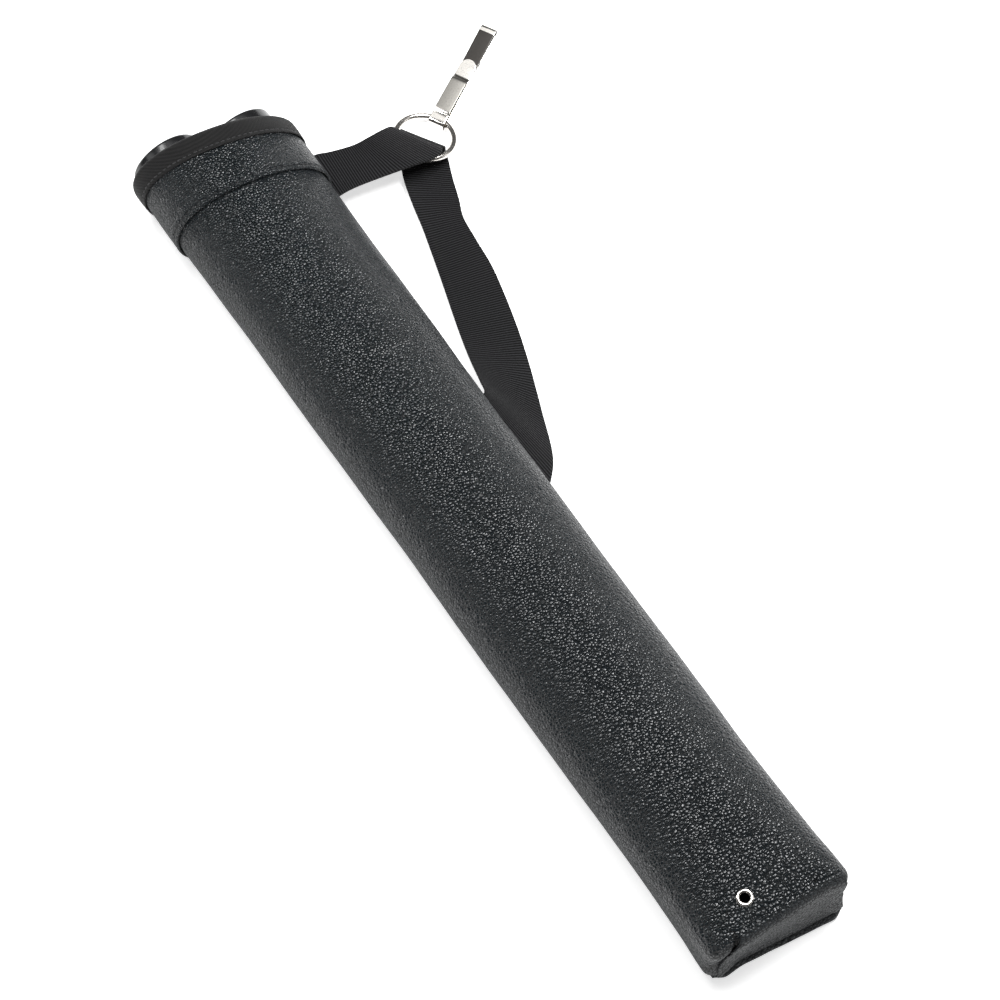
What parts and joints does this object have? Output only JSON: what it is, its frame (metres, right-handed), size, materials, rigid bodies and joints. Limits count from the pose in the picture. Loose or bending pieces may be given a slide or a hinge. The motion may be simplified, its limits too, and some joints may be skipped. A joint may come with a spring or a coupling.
{
  "type": "hip arrow quiver",
  "caption": "Leather-covered hip quiver with plastic arrow tubes, a bias-folded webbing strap, a steel ring and a spring belt clip, lying on its back.",
  "frame": {"origin": "point on the flat back face, on the body's centre line, half way along the body", "axes": "+Y from the base to the mouth along the body, +Z from the flat back to the front panel, +X to the strap side"},
  "size_m": [0.2049, 0.4962, 0.0497],
  "materials": {
    "black_leather": "satin, pebble grain",
    "binding_tape": "matt woven twill",
    "black_webbing": "matt ribbed weave",
    "tube_plastic": "gloss",
    "base_foam": "matt foam",
    "nickel_plate": "polished",
    "spring_steel": "satin"
  },
  "bodies": {
    "shell": {"cover": "black_leather", "cuff_band": "black_leather", "mouth_binding": "binding_tape", "base_lip": "black_leather", "back_seam_strip": "black_leather", "base_pad": "base_foam", "eyelet": "nickel_plate", "eyelet_washer": "nickel_plate", "strap_end_upper": "black_webbing", "strap_end_lower": "black_webbing"},
    "left_tube": {"arrow_tube_left": "tube_plastic"},
    "right_tube": {"arrow_tube_right": "tube_plastic"},
    "strap": {"webbing_strap": "black_webbing"},
    "ring": {"strap_ring": "nickel_plate"},
    "clip": {"belt_clip": "spring_steel"}
  },
  "joints": [
    {"name": "left_tube_slide", "type": "slide", "parent": "shell", "child": "left_tube", "axis": [0, 1, 0], "range_m": [0, 0.45]},
    {"name": "right_tube_slide", "type": "slide", "parent": "shell", "child": "right_tube", "axis": [0, 1, 0], "range_m": [0, 0.45]},
    {"name": "strap_swing", "type": "hinge", "parent": "shell", "child": "strap", "pos_m": [0.0404, 0.12, 0.014], "axis": [0, -1, 0], "range_deg": [0, 60]},
    {"name": "ring_flip", "type": "hinge", "parent": "strap", "child": "ring", "pos_m": [0.0943, 0.1878, 0.0086], "axis": [0.532, -0.8467, 0], "range_deg": [0, 25]},
    {"name": "clip_swing", "type": "hinge", "parent": "ring", "child": "clip", "pos_m": [0.10991, 0.19584, 0.0033], "axis": [0.4969, -0.8678, 0], "range_deg": [0, 90]}
  ]
}
